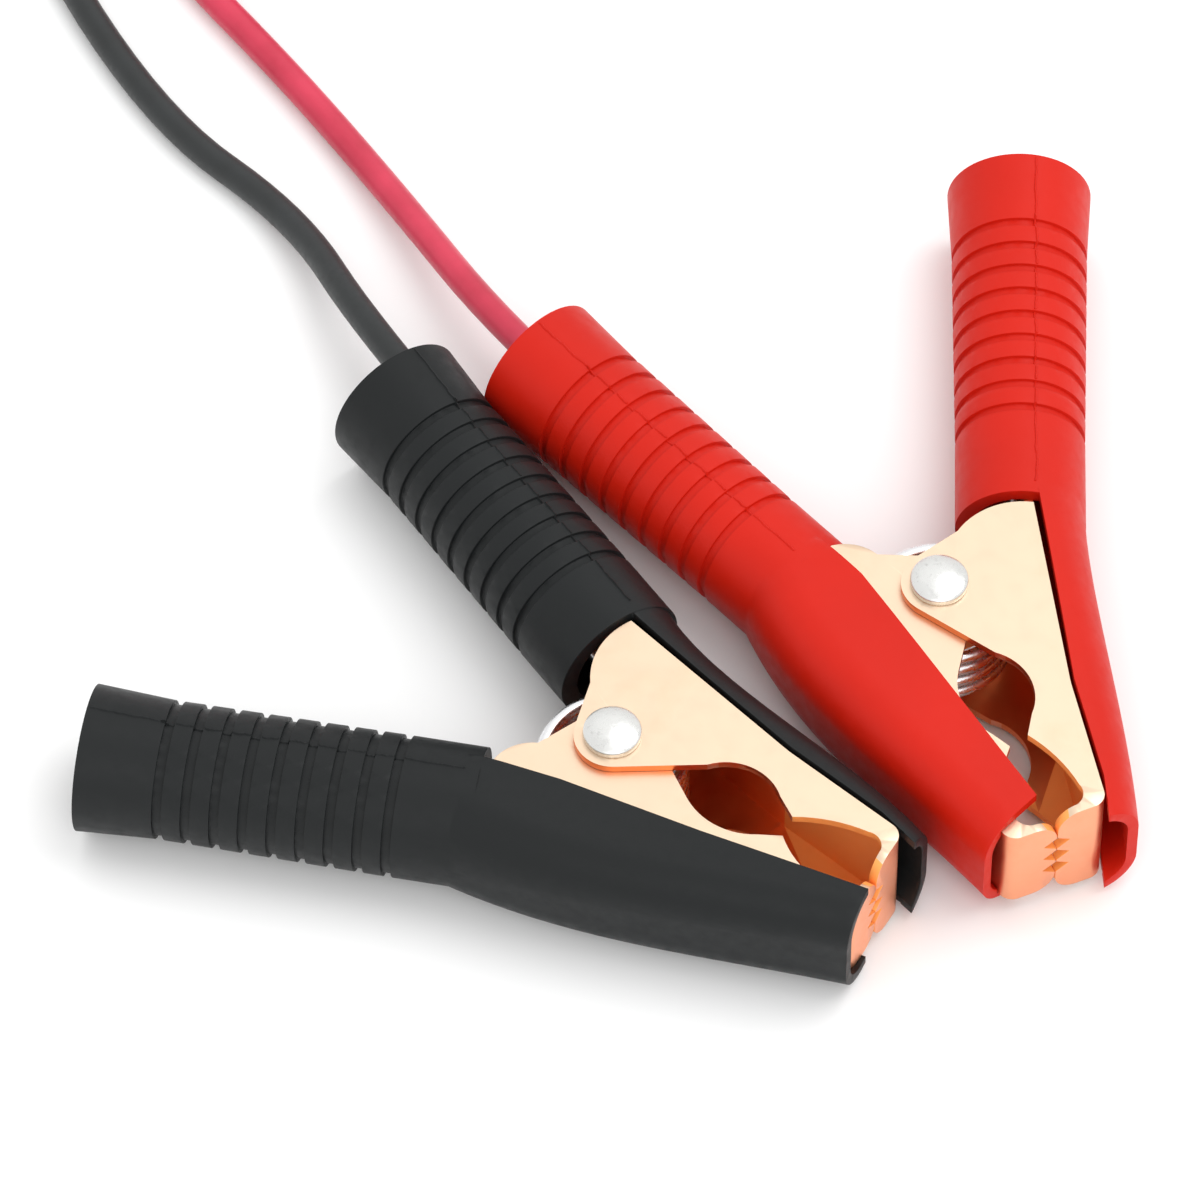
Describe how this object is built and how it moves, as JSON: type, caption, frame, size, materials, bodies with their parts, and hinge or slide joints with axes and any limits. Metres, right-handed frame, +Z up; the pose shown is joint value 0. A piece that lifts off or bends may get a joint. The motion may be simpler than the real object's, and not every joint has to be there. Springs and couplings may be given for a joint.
{
  "type": "alligator clip lead",
  "caption": "Test leads with sprung toothed jaw clips in soft ringed boots and banana plug ends, in black and red.",
  "frame": {"origin": "centre of the two clips' box, on the bench that they lie on", "axes": "+Z up, away from the bench; +X across the two clips; +Y towards the coiled leads"},
  "size_m": [0.1203, 0.2339, 0.0155],
  "materials": {
    "copper_plate": "satin",
    "rivet_steel": "satin",
    "spring_steel": "satin",
    "copper_strands": "satin",
    "tie_strap": "matte",
    "pin_nickel": "polished",
    "black_boot": "satin",
    "black_cable": "satin",
    "black_plug": "satin",
    "red_boot": "satin",
    "red_cable": "satin",
    "red_plug": "satin"
  },
  "bodies": {
    "cabled_handles": {"black_outer_jaw": "copper_plate", "black_pivot_rivet": "rivet_steel", "black_torsion_spring": "spring_steel", "black_outer_boot": "black_boot", "black_conductor": "copper_strands", "black_cable": "black_cable", "black_cable_coil": "black_cable", "black_coil_tie": "tie_strap", "black_plug_lead": "black_cable", "black_plug_sleeve": "black_plug", "black_plug_pin": "pin_nickel", "red_inner_jaw": "copper_plate", "red_torsion_spring": "spring_steel", "red_inner_boot": "red_boot", "red_conductor": "copper_strands", "red_cable": "red_cable", "red_cable_coil": "red_cable", "red_coil_tie": "tie_strap", "red_plug_lead": "red_cable", "red_plug_sleeve": "red_plug", "red_plug_pin": "pin_nickel"},
    "black_free_handle": {"black_inner_jaw": "copper_plate", "black_inner_boot": "black_boot"},
    "red_free_handle": {"red_outer_jaw": "copper_plate", "red_outer_boot": "red_boot", "red_pivot_rivet": "rivet_steel"}
  },
  "joints": [
    {"name": "black_jaw_pivot", "type": "hinge", "parent": "cabled_handles", "child": "black_free_handle", "pos_m": [0.00119, -0.02462, 0.0075], "axis": [0, 0, -1], "range_deg": [0, 36], "stiffness_Nm_per_rad": 0.35, "springref_deg": -57.3, "deforming": ["black_torsion_spring"]},
    {"name": "red_jaw_pivot", "type": "hinge", "parent": "cabled_handles", "child": "red_free_handle", "pos_m": [0.0342, -0.00611, 0.0075], "axis": [0, 0, 1], "range_deg": [0, 36], "stiffness_Nm_per_rad": 0.35, "springref_deg": -57.3, "deforming": ["red_torsion_spring"]}
  ]
}
